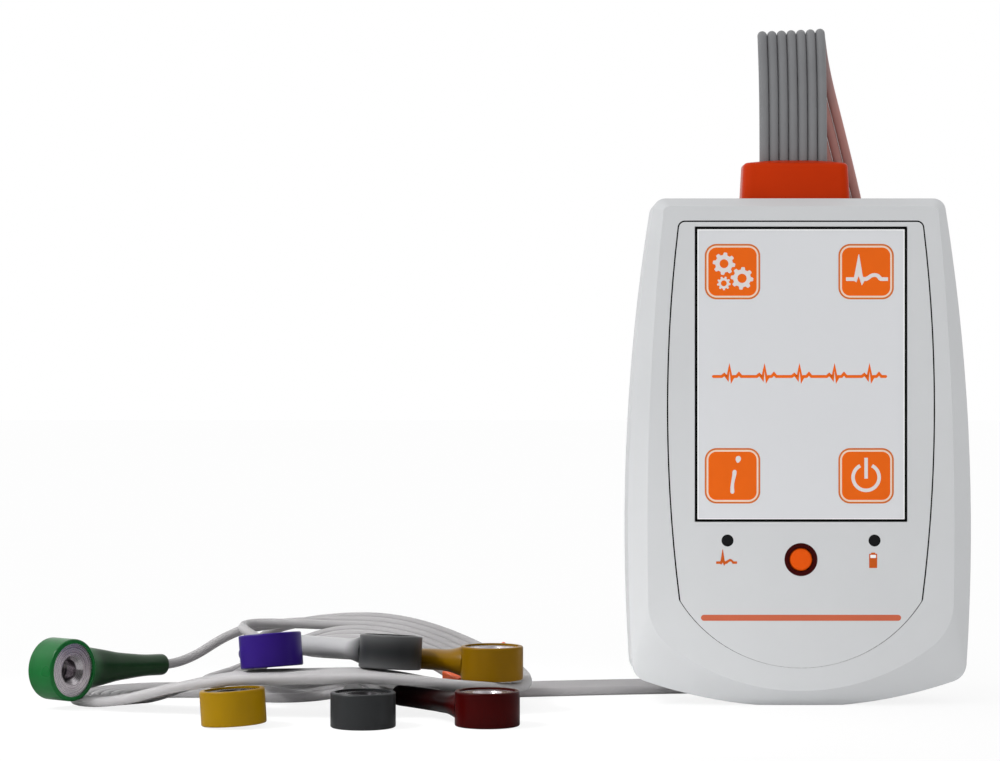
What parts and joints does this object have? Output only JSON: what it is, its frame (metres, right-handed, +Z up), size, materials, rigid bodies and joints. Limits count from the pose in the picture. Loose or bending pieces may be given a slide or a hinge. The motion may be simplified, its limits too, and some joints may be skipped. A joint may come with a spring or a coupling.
{
  "type": "ecg home monitor",
  "caption": "Palm-size home ECG recorder with a shield-shaped touch panel, centre button and a plug-in ribbon of lead wires, each ending in a coloured snap connector.",
  "frame": {"origin": "on the floor under the middle of the case", "axes": "+Z up along the case, the screen faces -Y, +X to the right seen from the front"},
  "size_m": [0.1875, 0.0744, 0.1367],
  "materials": {
    "shell_plastic": "fine satin texture, light grey",
    "panel_plastic": "smooth satin, light grey",
    "display_glass": "clear hard-coated window over a pale grey display",
    "orange_plastic": "satin orange",
    "clip_plastic": "satin orange",
    "dark_red_plastic": "dark red, glossy",
    "lamp_plastic": "smoked light pipe",
    "black_plastic": "black moulded",
    "white_plastic": "natural",
    "seal_rubber": "soft black rubber",
    "foam": "closed-cell foam",
    "display_tape": "foam tape",
    "display_flex": "amber film",
    "display_module": "display with metal frame",
    "board_laminate": "green solder mask",
    "diode_plastic": "clear diode",
    "cell_wrap": "plain wrapped steel can",
    "nickel_steel": "nickel plated",
    "zinc_steel": "zinc plated",
    "gold_contact": "gold plated",
    "snap_metal": "nickel plated, softly worn",
    "lead_jacket": "soft matt grey cable jacket",
    "snap_violet": "satin violet",
    "snap_green": "satin green",
    "snap_grey": "satin grey",
    "snap_yellow": "satin yellow",
    "snap_black": "satin black",
    "snap_red": "satin dark red"
  },
  "bodies": {
    "case": {"battery_cells": "cell_wrap", "battery_contacts": "nickel_steel", "battery_lamp_lens": "lamp_plastic", "battery_springs": "nickel_steel", "board_components": "black_plastic", "board_screws": "zinc_steel", "button_ring": "dark_red_plastic", "buzzer": "black_plastic", "case_screws": "zinc_steel", "display_flex": "display_flex", "display_foam": "foam", "display_module": "display_module", "display_tape": "display_tape", "display_window": "display_glass", "door_hinge_pin": "nickel_steel", "face_panel": "panel_plastic", "front_shell": "shell_plastic", "lamp_diodes": "diode_plastic", "lead_black": "lead_jacket", "lead_green": "lead_jacket", "lead_grey": "lead_jacket", "lead_red": "lead_jacket", "lead_socket": "black_plastic", "lead_violet": "lead_jacket", "lead_yellow_lower": "lead_jacket", "lead_yellow_upper": "lead_jacket", "main_board": "board_laminate", "memory_card": "black_plastic", "plug_block": "black_plastic", "plug_body": "orange_plastic", "plug_contacts": "gold_contact", "radio_shield": "nickel_steel", "rear_shell": "shell_plastic", "record_lamp_lens": "lamp_plastic", "ribbon_clip": "clip_plastic", "shell_seal": "seal_rubber", "snap_black": "snap_black", "snap_green": "snap_green", "snap_grey": "snap_grey", "snap_red": "snap_red", "snap_socket_black": "snap_metal", "snap_socket_green": "snap_metal", "snap_socket_grey": "snap_metal", "snap_socket_red": "snap_metal", "snap_socket_violet": "snap_metal", "snap_socket_yellow_lower": "snap_metal", "snap_socket_yellow_upper": "snap_metal", "snap_springs": "nickel_steel", "snap_violet": "snap_violet", "snap_yellow_lower": "snap_yellow", "snap_yellow_upper": "snap_yellow", "socket_pins": "gold_contact", "switch_body": "black_plastic"},
    "event_button": {"event_button": "orange_plastic", "switch_plunger": "white_plastic"},
    "battery_door": {"battery_door": "shell_plastic"}
  },
  "joints": [
    {"name": "event_button_press", "type": "slide", "parent": "case", "child": "event_button", "axis": [0, 1, 0], "range_m": [0, 0.0005], "stiffness_N_per_m": 600},
    {"name": "battery_door_hinge", "type": "hinge", "parent": "case", "child": "battery_door", "pos_m": [-0.0228, 0.0084, 0.03425], "axis": [0, 0, 1], "range_deg": [0, 90]}
  ]
}
